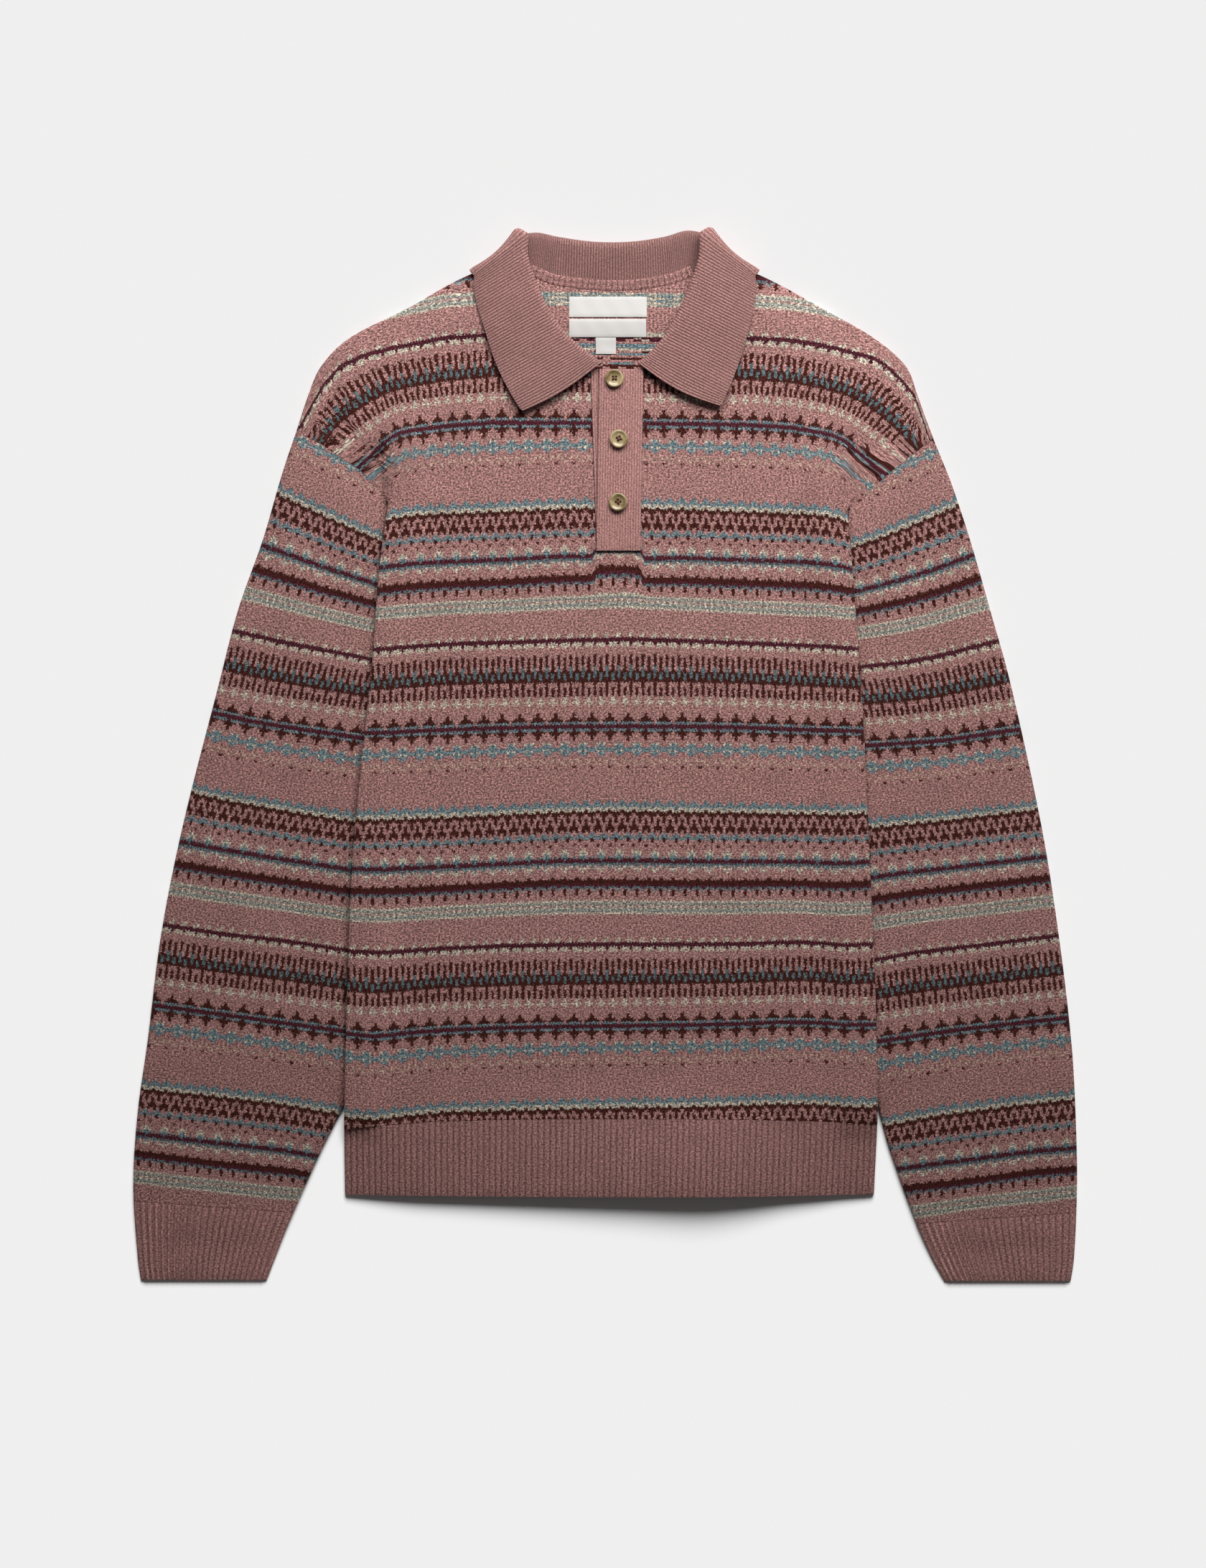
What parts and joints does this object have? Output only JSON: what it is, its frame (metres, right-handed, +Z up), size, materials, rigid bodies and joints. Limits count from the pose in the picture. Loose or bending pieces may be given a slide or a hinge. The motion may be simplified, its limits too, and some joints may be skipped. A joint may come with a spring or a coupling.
{
  "type": "knit polo shirt",
  "caption": "Long-sleeved two-colour banded knit polo shirt with a ribbed collar, a buttoned placket and bare neck labels, laid flat on its back.",
  "frame": {"origin": "on the surface the shirt lies on, under the middle of its length and width", "axes": "+X towards the wearer's left, +Y towards the collar, +Z up from the surface, out of the front"},
  "size_m": [0.7092, 0.7925, 0.0196],
  "materials": {
    "knit": "matt wool and cotton knit",
    "rib_knit": "matt ribbed knit",
    "horn": "polished horn look",
    "label_satin": "woven satin"
  },
  "bodies": {
    "root": {"back": "knit", "front": "knit", "hem_back": "rib_knit", "hem_front": "rib_knit", "sleeve_left": "knit", "sleeve_right": "knit", "cuff_left": "rib_knit", "cuff_right": "rib_knit", "collar": "rib_knit", "placket_top": "rib_knit", "placket_under": "rib_knit", "button_1": "horn", "button_2": "horn", "button_3": "horn", "neck_label": "label_satin", "fit_label": "label_satin", "size_tab": "label_satin"}
  },
  "joints": []
}
